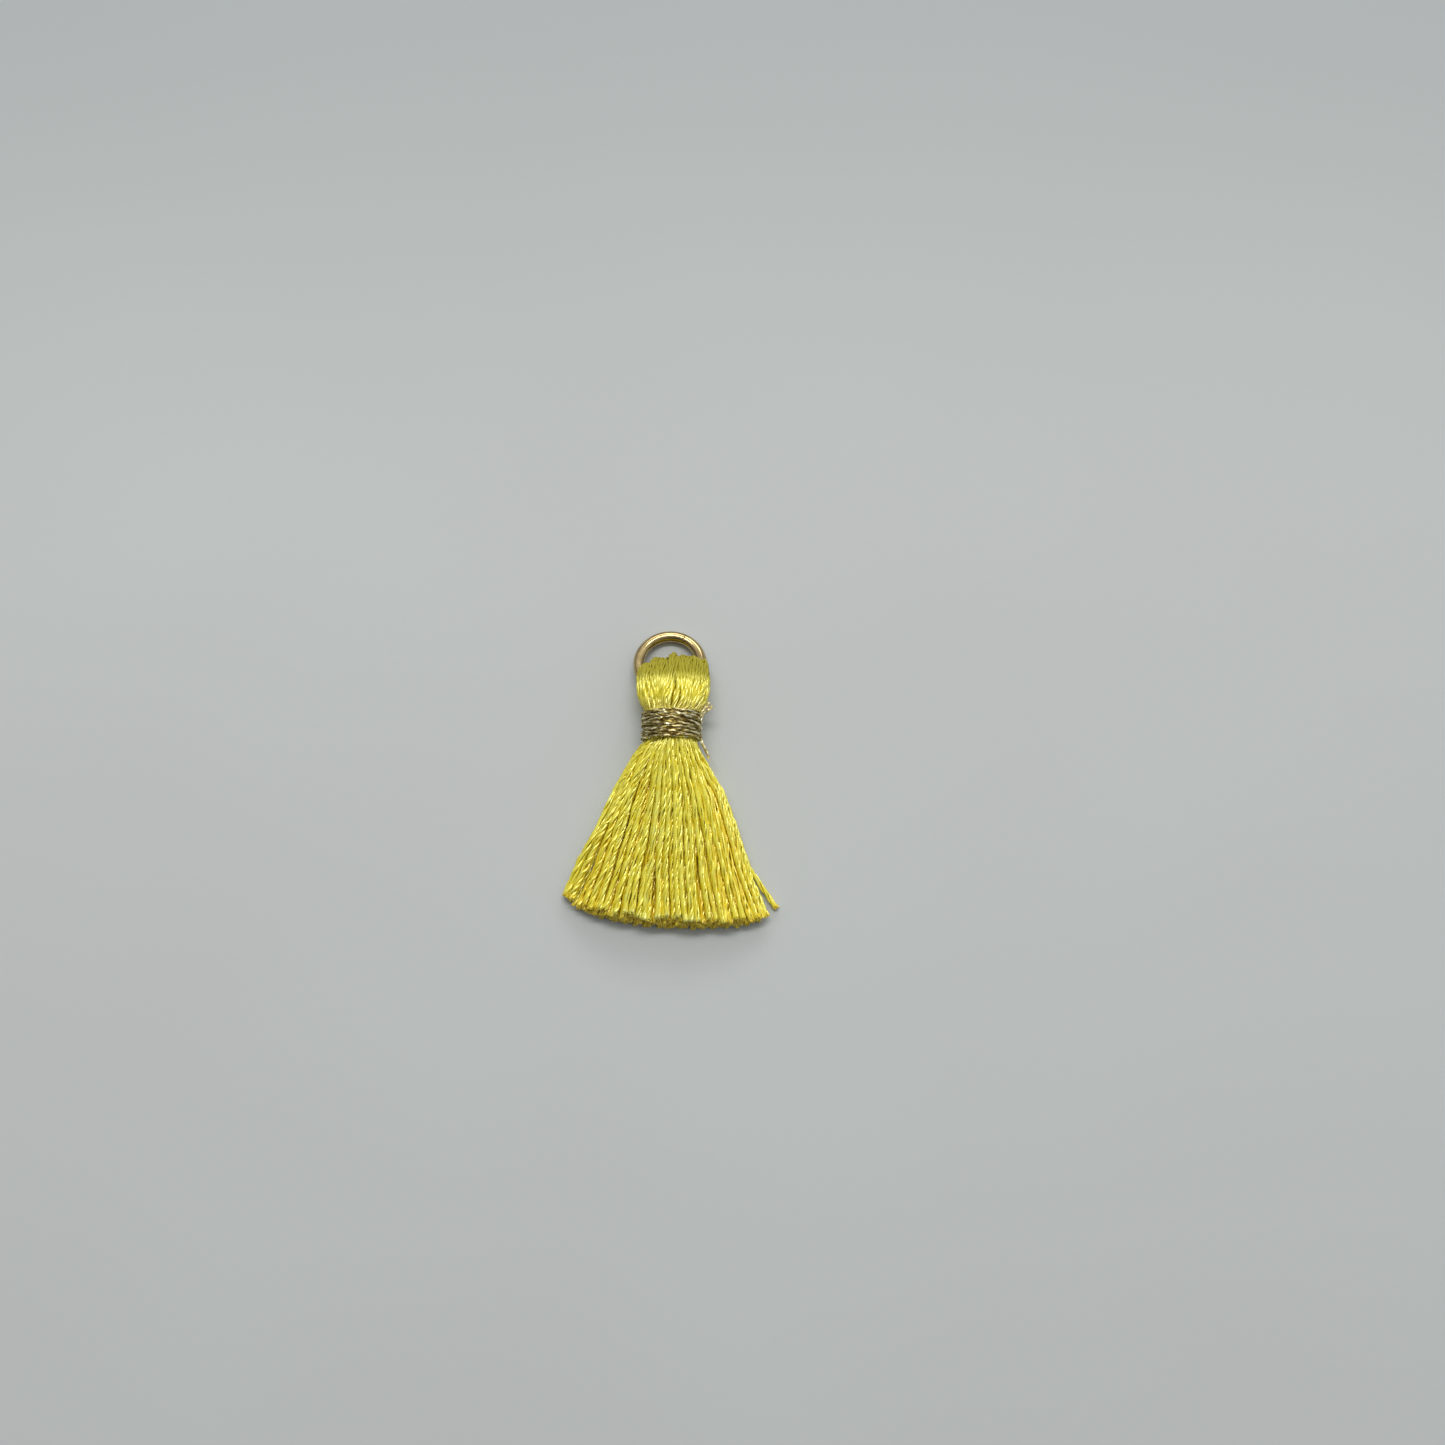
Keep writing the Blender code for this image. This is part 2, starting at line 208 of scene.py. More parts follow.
NECK_THREAD_RADIUS = 0.19
HEAD_THREAD_RADIUS = 0.225
HEAD_THREAD_SWELL = 1.18
HEAD_SPACING = 0.86  # threads press into each other to this share of their thickness
INSIDE_BINDING_Y = 1.2
HEAD_PARTINGS = (-1.33, 2.25)  # x of the two places above the binding where threads go under
DRAWN_FROM_Y = 6.0  # where front threads start to lean, and the length over which they do
DRAWN_OVER = 3.2
FRONT_Z = 4.1
HEAD_LEANS = (  # x that front threads come from, and the x that they are drawn to above the binding
    (-3.6, -3.3), (-2.4, -1.75), (-1.6, -1.45), (-0.7, -1.2), (0.2, -0.3),
    (0.8, 1.15), (1.5, 1.98), (2.3, 2.25), (3.0, 2.45), (3.8, 3.3),
)
PARTING_DEPTH = 0.5
PARTING_HALF_WIDTH = 0.35

# How plies are twisted; offset, thin and broad are shares of the thread's radius.
Twist = namedtuple("Twist", "pitch plies sides offset thin broad uneven frayed")
SKIRT_TWIST = Twist(4.8, 5, 5, 0.60, 0.33, 0.44, 0.26, 0.15)
HEAD_TWIST = Twist(3.84, 3, 6, 0.50, 0.44, 0.62, 0.26, 0.0)
GOLD_TWIST = Twist(2.5, 2, 6, 0.42, 0.46, 0.85, 0.24, 0.0)
LOOSE_GOLD_TWIST = GOLD_TWIST._replace(uneven=0.1)
WANDER_STEP = 1.3  # length over which a ply's wandering changes
PLY_ENDS = (-0.16, 0.10)  # how far a ply may end short of its strand's end or past it
TINT_SPREAD = 0.4
YARN_CRISP = 84  # edges sharper than this many degrees are shaded as edges
GOLD_CRISP = 38
RING_CRISP = 35
SMOOTH = 180

# Colours, and where the yarn's colour changes
# the head's top over the fold gets painted olive shade, starting at the first y and full at the second
FOLD_SHADE_Y = (3.9, 6.0)
NECK_SHADE = (2.2, 0.6)  # distances from the binding's edge where the painted olive shade starts and is full
DEEP_YELLOW = (0.93, 0.79, 0.015, 1)
PALE_YELLOW = (0.97, 0.87, 0.035, 1)
LEMON = (0.98, 0.95, 0.13, 1)
# painted highlight on the cut ends of high strands
TIP_PAINTED_HIGHLIGHT = (0.99, 0.97, 0.28, 1)
# painted shade: deeper gold inside the yarn bundle and on the cut ends of low strands
INNER_PAINTED_SHADE = (0.98, 0.75, 0.012, 1)
# painted shade: olive over the fold at the head's top
FOLD_PAINTED_SHADE = (0.38, 0.335, 0.02, 1)
# painted shade: olive on the head just above the binding
NECK_PAINTED_SHADE = (0.62, 0.52, 0.03, 1)
YARN_GLOSS = (1.0, 0.96, 0.66, 1)
CORE_BROWN = (0.22, 0.14, 0.035, 1)
CORE_KHAKI = (0.45, 0.39, 0.12, 1)
FILM_DULL = (0.60, 0.50, 0.22, 1)
FILM_BRIGHT = (1.0, 0.93, 0.66, 1)
WORN_PLATE = (0.38, 0.27, 0.12, 1)
GOLD_PLATE = (0.60, 0.46, 0.21, 1)
PAPER_SHADE = (0.515, 0.537, 0.53, 1)
PAPER = (0.535, 0.56, 0.555, 1)
# painted shade: the paper darker towards the far edge
FAR_PAINTED_SHADE = (0.40, 0.425, 0.43, 1)
LAMP_WHITE = (1.0, 0.985, 0.95)
ROOM_WHITE = (0.955, 0.975, 1.0, 1)

# Setting
FLOOR_SIZE = 1600
FLOOR_Z = -0.01
# where the paper's painted shade starts and where it is full
FAR_PAPER_Y = (15, 110)
CAMERA_PLACE = (5.375, -27.973, 149.207)
CAMERA_TARGET = (5.375, 1.030, 0)
LAMP_TARGET = (0, -5, 0)
BRIGHT_WALL = (0.3, 0.954, 0.0)


# Curves and swept threads


def unit(vectors):
    return vectors / np.maximum(np.linalg.norm(vectors, axis=-1, keepdims=True), 1e-12)


def through(knots, at):
    """Catmull-Rom curves through knots, shaped (curves, knots, n), at fractional knot numbers."""
    last = knots.shape[1] - 1
    i = np.clip(at.astype(int), 0, last - 1)
    f = (at - i)[None, :, None]
    p0, p1, p2, p3 = (knots[:, np.clip(i + k, 0, last)] for k in (-1, 0, 1, 2))
    square = 2 * p0 - 5 * p1 + 4 * p2 - p3
    cube = 3 * p1 - p0 - 3 * p2 + p3
    return 0.5 * (2 * p1 + (p2 - p0) * f + square * f**2 + cube * f**3)


def wander(count, samples, knots):
    """Smooth random curves between about -1 and 1, one row for each thread."""
    values = rng.uniform(-1, 1, (count, knots, 1))
    return through(values, np.linspace(0, knots - 1, samples))[..., 0]


def evenly_spaced(path, count):
    steps = np.linalg.norm(np.diff(path, axis=0), axis=1)
    along = np.concatenate([[0], np.cumsum(steps)])
    even = np.linspace(0, along[-1], count)
    return np.stack([np.interp(even, along, path[:, axis]) for axis in range(3)], axis=1)


def interpolated(at, rows, column):
    """A column of a table of rows, interpolated at values of the first column."""
    return np.interp(at, [row[0] for row in rows], [row[column] for row in rows])


def smooth(paths, share):
    """Moves each inner point a share of the way to the middle of its two neighbours."""
    paths[:, 1:-1] += share * ((paths[:, :-2] + paths[:, 2:]) / 2 - paths[:, 1:-1])


def frames_along(paths):
    """Tangents and two normals that turn no more than the paths do."""
    tangents = unit(np.gradient(paths, axis=1))
    start = np.cross(tangents[:, 0], (0.0, 0.0, 1.0))
    start = np.where(np.linalg.norm(start, axis=1, keepdims=True) < 0.1, (1.0, 0.0, 0.0), start)
    normals = np.empty_like(tangents)
    carried = start
    for k in range(paths.shape[1]):
        t = tangents[:, k]
        carried = unit(carried - (carried * t).sum(axis=1, keepdims=True) * t)
        normals[:, k] = carried
    return tangents, normals, np.cross(tangents, normals)


def varied(tints):
    return np.clip(tints + rng.uniform(-TINT_SPREAD, TINT_SPREAD, len(tints)), 0, 1)


def rings_round(paths, reach, first, second):
    """Rings of points round paths, at a reach for each side, which turn from first to second."""
    side = np.arange(reach.shape[-1]) * TAU / reach.shape[-1]
    return (
        paths[..., None, :]
        + (reach * np.cos(side))[..., None] * first[..., None, :]
        + (reach * np.sin(side))[..., None] * second[..., None, :]
    )


class ThreadMesh:
    """Gathers swept tubes into one mesh with UVs (millimetres along, share of the way round) and a tint."""

    def __init__(self):
        self.points, self.faces, self.uvs, self.tints, self.painted_shade_and_highlight = [], [], [], [], []
        self.count = 0

    def add(self, rings, along, tints, painted_shade_and_highlight=None, close_tips=0.0):
        """rings is (tubes, samples, sides, 3) in millimetres; close_tips is how far the tubes' ends bulge."""
        tubes, samples, sides, _ = rings.shape
        painted_shade_and_highlight = np.zeros((tubes, samples, sides)) if painted_shade_and_highlight is None else painted_shade_and_highlight
        counts = (np.arange(tubes), np.arange(samples - 1), np.arange(sides))
        tube, ring, side = np.meshgrid(*counts, indexing="ij")
        after = (side + 1) % sides
        base = self.count + (tube * samples + ring) * sides
        quads = np.stack([base + side, base + sides + side, base + sides + after, base + after], axis=-1)
        u0, u1 = along[tube, ring], along[tube, ring + 1]
        v0, v1 = side / sides, (side + 1) / sides
        corners = ((u0, v0), (u1, v0), (u1, v1), (u0, v1))
        uv = np.stack([np.stack(corner, axis=-1) for corner in corners], axis=-2)
        self.faces += quads.reshape(-1, 4).tolist()
        self.uvs.append(uv.reshape(-1, 2))
        self.points.append(rings.reshape(-1, 3))
        self.tints.append(np.repeat(tints, samples * sides))
        self.painted_shade_and_highlight.append(painted_shade_and_highlight.ravel())
        first_cap = self.count + tubes * samples * sides

        ends = ((0, 1, False), (samples - 1, samples - 2, True))
        caps = []
        for number, (end, inner, forward) in enumerate(ends):
            middle = rings[:, end].mean(axis=1)
            outward = unit(middle - rings[:, inner].mean(axis=1))
            caps.append(middle + outward * close_tips)
            for t in range(tubes):
                rim = self.count + (t * samples + end) * sides
                tip = first_cap + number * tubes + t
                for s in range(sides):
                    pair = (rim + s, rim + (s + 1) % sides)
                    self.faces.append([pair[0], tip, pair[1]] if forward else [pair[1], tip, pair[0]])
            self.uvs.append(np.repeat(along[:, end], sides * 3)[:, None] * (1.0, 0.0) + (0.0, 0.5))
        self.points.append(np.concatenate(caps))
        self.tints.append(np.tile(tints, 2))
        self.painted_shade_and_highlight.append(np.concatenate([painted_shade_and_highlight[:, 0].mean(axis=1), painted_shade_and_highlight[:, -1].mean(axis=1)]))
        self.count = first_cap + 2 * tubes

    def build(self, piece_name, finish, slot, *nodes, crisp):
        mesh = bpy.data.meshes.new(piece_name)
        mesh.from_pydata((np.concatenate(self.points) * MM).tolist(), [], self.faces)
        layer = mesh.uv_layers.new(name="along_and_round")
        layer.data.foreach_set("uv", np.concatenate(self.uvs).astype(np.float32).ravel())
        for name, values in (("tint", self.tints), ("depth", self.painted_shade_and_highlight)):
            layer = mesh.attributes.new(name, "FLOAT", "POINT")
            layer.data.foreach_set("value", np.concatenate(values).astype(np.float32))
        mesh.shade_smooth()
        mesh.set_sharp_from_angle(angle=math.radians(crisp))
        mesh.materials.append(finish)
        piece = bpy.data.objects.new(piece_name, mesh)
        bpy.context.scene.collection.objects.link(piece)
        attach(piece, "root")
        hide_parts(*nodes)


def ply_rings(paths, radii, twist, phases):
    """Twists oval plies round each path, and gives each ply's rings and the length along the path."""
    count, samples = paths.shape[:2]
    tangents, normals, binormals = frames_along(paths)
    steps = np.linalg.norm(np.diff(paths, axis=1), axis=2)
    along = np.concatenate([np.zeros((count, 1)), np.cumsum(steps, axis=1)], axis=1)
    knots = max(4, int(along.max() / WANDER_STEP))
    uneven, frayed = twist.uneven, twist.frayed
    looseness = rng.uniform(1 - 1.5 * uneven, 1 + 1.5 * uneven, (count, 1))
    to_end = along[:, -1:] - along
    side = np.arange(twist.sides) * TAU / twist.sides
    made = []
    for ply in range(twist.plies):
        turn = phases[:, None] + TAU * (looseness * along / twist.pitch + ply / twist.plies)
        turn += 3 * uneven * wander(count, samples, knots)
        outward = np.cos(turn)[..., None] * normals + np.sin(turn)[..., None] * binormals
        away = twist.offset * radii * (1 + 1.2 * uneven * wander(count, samples, knots))
        away *= 1 + frayed * np.exp(-2 * to_end)
        centres = paths + outward * away[..., None]
        if frayed:
            centres += tangents * (rng.uniform(*PLY_ENDS, (count, 1)) * np.exp(-3 * to_end))[..., None]
        lean = unit(np.gradient(centres, axis=1))
        first = unit(normals - (normals * lean).sum(axis=2, keepdims=True) * lean)
        second = np.cross(lean, first)
        apart = side[None, None, :] - turn[..., None]
        swell = (radii * (1 + uneven * wander(count, samples, knots)))[..., None]
        narrow, wide = twist.thin * swell, twist.broad * swell
        reach = narrow * wide / np.sqrt((wide * np.cos(apart)) ** 2 + (narrow * np.sin(apart)) ** 2)
        made.append((rings_round(centres, reach, first, second), along))
    return made


# Materials


class Nodes:
    """A short way to add and link the nodes of a material or world."""

    def __init__(self, owner):
        owner.use_nodes = True
        self.tree = owner.node_tree

    def add(self, kind, inputs, **settings):
        node = self.tree.nodes.new(kind)
        for key, value in settings.items():
            setattr(node, key, value)
        for key, value in inputs.items():
            self.feed(node.inputs[key], value)
        return node

    def feed(self, socket, value):
        if isinstance(value, bpy.types.NodeSocket):
            self.tree.links.new(value, socket)
        else:
            socket.default_value = value

    def set(self, node_name, **values):
        for key, value in values.items():
            self.feed(self.tree.nodes[node_name].inputs[key.replace("_", " ")], value)

    def mix(self, share, low, high):
        return self.add("ShaderNodeMix", {0: share, 6: low, 7: high}, data_type="RGBA").outputs[2]

    def ramp(self, value, low, high, to=(0.0, 1.0), smooth=False):
        kind = "SMOOTHSTEP" if smooth else "LINEAR"
        inputs = {0: value, 1: low, 2: high, 3: to[0], 4: to[1]}
        return self.add("ShaderNodeMapRange", inputs, interpolation_type=kind).outputs[0]

    def maths(self, operation, *values, clamp=False):
        inputs = dict(enumerate(values))
        return self.add("ShaderNodeMath", inputs, operation=operation, use_clamp=clamp).outputs[0]

    def attribute(self, name):
        return self.add("ShaderNodeAttribute", {}, attribute_name=name).outputs["Fac"]

    def place(self, kind):
        return self.add("ShaderNodeTexCoord", {}).outputs[kind]

    def axis(self, vector, letter):
        return self.add("ShaderNodeSeparateXYZ", {"Vector": vector}).outputs[letter]

    def noise(self, where, scale, detail):
        inputs = {"Vector": where, "Scale": scale, "Detail": detail}
        return self.add("ShaderNodeTexNoise", inputs).outputs["Fac"]

    def streaks(self, along_scale, round_scale, detail=2.0):
        """Noise drawn out along a thread."""
        uv = self.add("ShaderNodeUVMap", {}, uv_map="along_and_round").outputs[0]
        inputs = {"Vector": uv, "Scale": (along_scale, round_scale, 1.0)}
        return self.noise(self.add("ShaderNodeMapping", inputs).outputs[0], 1.0, detail)

    def bump(self, height, distance, strength):
        inputs = {"Height": height, "Distance": distance * MM, "Strength": strength}
        return self.add("ShaderNodeBump", inputs).outputs[0]


def yarn_material():
    """Silky filaments with a narrow gloss across them, duller at the fold; painted gold shade inside the
    bundle, a painted highlight on high cut ends and painted shade on low ones, painted olive shade at the
    fold and above the binding.
    """
    material = bpy.data.materials.new("silky_yarn")
    nodes = Nodes(material)
    filaments = nodes.streaks(0.9, 3.6, 3.0)
    dips = nodes.ramp(nodes.streaks(1.1, 1.6), 0.35, 0.65)
    depth = nodes.attribute("depth")
    skin = nodes.mix(dips, DEEP_YELLOW, nodes.mix(nodes.attribute("tint"), PALE_YELLOW, LEMON))
    y = nodes.axis(nodes.place("Object"), "Y")
    # painted olive shade over the fold, by height up the head
    fold = nodes.ramp(y, FOLD_SHADE_Y[0] * MM, FOLD_SHADE_Y[1] * MM, smooth=True)
    # painted highlight towards the tips of high cut ends
    lit_ends = nodes.mix(nodes.ramp(depth, 0, -1), skin, TIP_PAINTED_HIGHLIGHT)
    # painted shade inside the bundle, weaker over the fold
    inside = nodes.maths("MULTIPLY", depth, nodes.ramp(fold, 0, 1, to=(1.0, 0.3)), clamp=True)
    from_neck = nodes.maths("ABSOLUTE", nodes.maths("SUBTRACT", y, INSIDE_BINDING_Y * MM))
    # painted olive shade on the head near the binding
    neck_shade_mask = nodes.ramp(from_neck, NECK_SHADE[0] * MM, NECK_SHADE[1] * MM, smooth=True)
    colour = nodes.mix(inside, nodes.mix(fold, lit_ends, FOLD_PAINTED_SHADE), INNER_PAINTED_SHADE)
    tangent = nodes.add("ShaderNodeTangent", {}, direction_type="UV_MAP", uv_map="along_and_round")
    nodes.set(
        "Principled BSDF",
        Base_Color=nodes.mix(neck_shade_mask, colour, NECK_PAINTED_SHADE),
        Metallic=0.12,
        Roughness=nodes.ramp(fold, 0, 1, to=(0.30, 0.45)),
        IOR=1.95,
        Specular_Tint=YARN_GLOSS,
        Anisotropic=0.70,
        Anisotropic_Rotation=0.25,
        Specular_IOR_Level=nodes.ramp(fold, 0, 1, to=(1.0, 0.2)),
        Normal=nodes.bump(filaments, 0.035, 0.9),
        Tangent=tangent.outputs[0],
    )
    return material


def gold_thread_material():
    """Metallised film twisted with a dull core: khaki, brown and greenish stretches, some of them bright."""
    material = bpy.data.materials.new("metallic_thread")
    nodes = Nodes(material)
    patches = nodes.streaks(0.7, 1.5, 3.0)
    core = nodes.mix(nodes.ramp(patches, 0.36, 0.64), CORE_BROWN, CORE_KHAKI)
    film = nodes.mix(nodes.ramp(patches, 0.40, 0.60), FILM_DULL, FILM_BRIGHT)
    nodes.set(
        "Principled BSDF",
        Base_Color=nodes.mix(nodes.attribute("tint"), core, film),
        Metallic=1.0,
        Roughness=nodes.ramp(patches, 1.25, -0.45),
        Normal=nodes.bump(patches, 0.02, 0.6),
    )
    return material


def ring_material():
    """Thin antique gold plate on wire: drawing lines along it, and browner where the plate has worn."""
    material = bpy.data.materials.new("gold_plate")
    nodes = Nodes(material)
    drawn = nodes.streaks(0.12, 14.0)
    wear = nodes.streaks(0.6, 3.0, 4.0)
    nodes.set(
        "Principled BSDF",
        Base_Color=nodes.mix(nodes.ramp(wear, 0.35, 0.7), WORN_PLATE, GOLD_PLATE),
        Metallic=1.0,
        Roughness=nodes.ramp(wear, -0.2, 4.4),
        Normal=nodes.bump(drawn, 0.004, 0.5),
    )
    return material


def paper_material():
    """Matte paper, with painted shade that makes it a little darker towards the far edge."""
    material = bpy.data.materials.new("pale_paper")
    nodes = Nodes(material)
    where = nodes.place("Object")
    far = nodes.ramp(nodes.axis(where, "Y"), FAR_PAPER_Y[0] * MM, FAR_PAPER_Y[1] * MM, smooth=True)
    near = nodes.mix(nodes.ramp(nodes.noise(where, 14.0, 2.0), 0.3, 0.7), PAPER_SHADE, PAPER)
    nodes.set(
        "Principled BSDF",
        Base_Color=nodes.mix(far, near, FAR_PAINTED_SHADE),
        Roughness=0.75,
        Specular_IOR_Level=0.3,
        Normal=nodes.bump(nodes.noise(where, 900.0, 4.0), 0.02, 0.5),
    )
    return material


# Skirt


def outline_at(share):
    return Station(share, *(interpolated(share, STATIONS, column) for column in range(1, 7)))


def settle(points, station, rounds):
    """Pushes strand centres apart until they clear each other, inside the outline and off the surface."""
    spacing = 2 * station.radius
    middle = (station.left + station.right) / 2
    half_width = (station.right - station.left) / 2 - station.radius
    low, high = station.low + station.radius, station.high - station.radius
    edge = min(max(station.edge, low), high)
    same = np.eye(len(points), dtype=bool)
    for _ in range(rounds):
        apart = points[:, None, :] - points[None, :, :]
        distance = np.maximum(np.linalg.norm(apart, axis=2), 1e-6)
        distance[same] = spacing
        push = np.clip(spacing - distance, 0, None) / 2
        points = points + (apart / distance[..., None] * push[..., None]).sum(axis=1)
        across = np.clip((points[:, 0] - middle) / half_width, -1, 1)
        dome = np.sqrt(1 - across**2)
        points[:, 0] = middle + half_width * across
        points[:, 1] = np.clip(points[:, 1], edge - (edge - low) * dome, edge + (high - edge) * dome)
        points[:, 1] = np.maximum(points[:, 1], station.radius)
    return points


def stretched(points, station):
    """The outermost strands reach the outline's two side edges."""
    points = points.copy()
    reach = (points[:, 0].min(), points[:, 0].max())
    edges = (station.left + station.radius, station.right - station.radius)
    points[:, 0] = np.interp(points[:, 0], reach, edges)
    return points


def carried_on(points, last, station):
    """Points of the last outline, moved to the same shares of the next one."""
    moved = points.copy()
    share = (points[:, 0] - last.left) / (last.right - last.left)
    moved[:, 0] = station.left + share * (station.right - station.left)
    up = (points[:, 1] - last.edge) / (last.high - last.edge)
    down = (points[:, 1] - last.edge) / (last.edge - last.low)
    moved[:, 1] = station.edge + np.where(
        points[:, 1] >= last.edge, up * (station.high - station.edge), down * (station.edge - station.low)
    )
    return moved


def sideways_shift(x, shares):
    """How far strands move where neighbours draw together in locks, and where a parting opens at the left."""
    outlines = [outline_at(share) for share in shares]
    across = (x - [s.left for s in outlines]) / [s.right - s.left for s in outlines]
    grown = np.clip((shares - 0.12) / 0.5, 0, 1)
    strength = LOCK_SHIFT * grown * np.sin(np.clip(across, 0, 1) * math.pi) ** 0.5
    fine, coarse = LOCK_WAVES
    locks = strength * (np.sin(across * fine + 1.0) + 0.7 * np.sin(across * coarse + 2.0 + 1.5 * shares))
    parting = np.exp(-(((shares - PARTING_SHARE) / PARTING_LENGTH) ** 2))
    beside = np.clip((across - 0.05) / 0.03, 0, 1) * np.clip(1 - (across - 0.08) / 0.25, 0, 1)
    return locks + PARTING_SHIFT * parting * beside


def shade_under_skin(points):
    """How much painted shade a point gets: 0 on the outside of the yarn and 1 well inside the bundle, for
    points in millimetres.
    """
    x, y, z = points[..., 0], points[..., 1], points[..., 2]
    share = y / interpolated(x, TIP_LINE, 1)
    skirt = [interpolated(share, STATIONS, column) for column in (1, 2, 3, 5)]
    rows = [row[:5] for row in NECK_ROWS]
    rows += [(HEAD_WIDEST_Y + row.y * FOLD_HEIGHT, *row[1:5]) for row in FOLD_ROWS]
    head = [interpolated(y, rows, column) for column in (1, 2, 3, 4)]
    left, right, low, high = (np.where(y < 0, a, b) for a, b in zip(skirt, head))
    across = np.clip((2 * x - left - right) / (right - left), -1, 1)
    half = (high - low) / 2 * np.sqrt(1 - across**2)
    inside = half - abs(z - (high + low) / 2)
    return np.clip((inside - SKIN_DEPTH) / SKIN_BLEND, 0, 1)


def fanned_sections():
    """Where each strand passes each outline from the binding to the foot, and the outlines' shares."""
    shares = np.linspace(0, 1, SECTIONS) ** SECTIONS_NEARER_NECK
    order = np.arange(STRANDS)
    reach = np.sqrt((order + 0.5) / STRANDS)
    first = STATIONS[0]
    sideways = (first.right - first.left) / 2 * reach * np.cos(order * GOLDEN_ANGLE)
    upward = (first.high - first.low) / 2 * reach * np.sin(order * GOLDEN_ANGLE)
    points = np.stack([(first.left + first.right) / 2 + sideways, first.edge + upward], axis=1)
    points = settle(points, first, START_ROUNDS)
    drift = np.stack([wander(STRANDS, len(shares), 7), wander(STRANDS, len(shares), 6)], axis=2)
    drift -= drift[:, :1]
    sections, last = [], first
    for k, share in enumerate(shares):
        station = outline_at(share)
        points = stretched(carried_on(points, last, station), station)
        if k:
            loose = np.clip((share - 0.08) / 0.3, 0, 1)
            points = points + (drift[:, k] - drift[:, k - 1]) * DRIFT * loose
        points = settle(points, station, SECTION_ROUNDS)
        sections.append(points)
        last = station
    sections = np.stack(sections, axis=1)
    for _ in range(SMOOTHING_ROUNDS):
        smooth(sections, 0.6)
        for k, share in enumerate(shares):
            station = outline_at(share)
            sections[:, k] = settle(stretched(sections[:, k], station), station, 2)
    sections[..., 0] += sideways_shift(sections[..., 0], shares)
    return sections, shares


def skirt_paths():
    """The middle line of each strand, shaped (strands, samples, 3), and each strand's radius along it."""
    sections, shares = fanned_sections()
    tips = sections[:, -1]
    uneven = 0.10 + 0.06 * tips[:, 1]
    tip_y = interpolated(tips[:, 0], TIP_LINE, 1)
    tip_y = tip_y + UPPER_ENDS_SHORTER * (tips[:, 1] - 0.3) + uneven * rng.uniform(-1, 1, STRANDS)
    knots = np.stack([sections[..., 0], shares * tip_y[:, None], sections[..., 1]], axis=2)
    stray = int(np.argmax(tips[:, 0]))
    bend = int(np.argmin(abs(shares - STRAY_FROM_SHARE)))
    out = np.linspace(0, 1, len(shares) - bend)[:, None]
    start = knots[stray, bend].copy()
    knots[stray, bend:] = (1 - out) ** 2 * start + 2 * out * (1 - out) * STRAY_LEAVES + out**2 * STRAY_TIP

    samples = int(-tip_y.min() / SAMPLE_STEP)
    fine = through(knots, np.linspace(0, len(shares) - 1, 3 * samples))
    paths = np.stack([evenly_spaced(path, samples) for path in fine])
    share = np.linspace(0, 1, samples)
    paths[..., 0] += PATH_WANDER * np.clip(share * 4, 0, 1) * wander(STRANDS, samples, 8)
    radii = interpolated(share, STATIONS, 6) * rng.uniform(1.0, THICKEST_STRAND, (STRANDS, 1))
    paths[..., 2] = np.maximum(np.maximum(paths[..., 2], 0.3), FLOOR_PRESS * radii)
    return paths, radii


# how much painted shade each strand's cut end gets, by how low it lies
def shaded_ends(paths):
    return np.clip((LIT_ENDS_Z - paths[:, -1, 2]) / SHADE_OVER, 0, 1)


def add_cut_ends(mesh, paths, radii, tints):
    """Filaments between the plies at each strand's cut end, which make it a blunt brush."""
    tangents, normals, binormals = frames_along(paths)
    step = np.linalg.norm(np.diff(paths, axis=1), axis=2).mean()
    count = len(paths)
    angle = rng.uniform(0, TAU, (count, FILAMENTS))
    out = np.sqrt(rng.uniform(0, 1, (count, FILAMENTS)))
    knots = []
    for splay in SPLAYS:
        at = paths.shape[1] - 1 - int(round(splay.back / step))
        reach = out * radii[:, at, None] * splay.share
        knots.append(
            paths[:, None, at]
            + (reach * np.cos(angle))[..., None] * normals[:, None, at]
            + (reach * np.sin(angle))[..., None] * binormals[:, None, at]
        )
    knots[-1] = knots[-1] + tangents[:, None, -1] * rng.uniform(*FILAMENT_ENDS, (count, FILAMENTS, 1))
    knots = np.stack(knots, axis=2).reshape(count * FILAMENTS, len(SPLAYS), 3)
    hairs = through(knots, np.linspace(0, len(SPLAYS) - 1, FILAMENT_SAMPLES))
    hairs[..., 2] = np.maximum(hairs[..., 2], 0.05)
    _, first, second = frames_along(hairs)
    thick = FILAMENT_RADIUS * rng.uniform(0.75, 1.25, (len(hairs), 1, 1))
    rings = rings_round(hairs, thick * np.ones(FILAMENT_SIDES), first, second)
    along = np.tile(np.linspace(0, SPLAYS[0].back, FILAMENT_SAMPLES), (len(hairs), 1))
    shaded = np.repeat(shaded_ends(paths), FILAMENTS)[:, None, None]
    # painted shade on filaments inside the bundle and at cut ends that lie low
    mesh.add(rings, along, np.repeat(tints, FILAMENTS), np.maximum(shade_under_skin(rings), shaded))


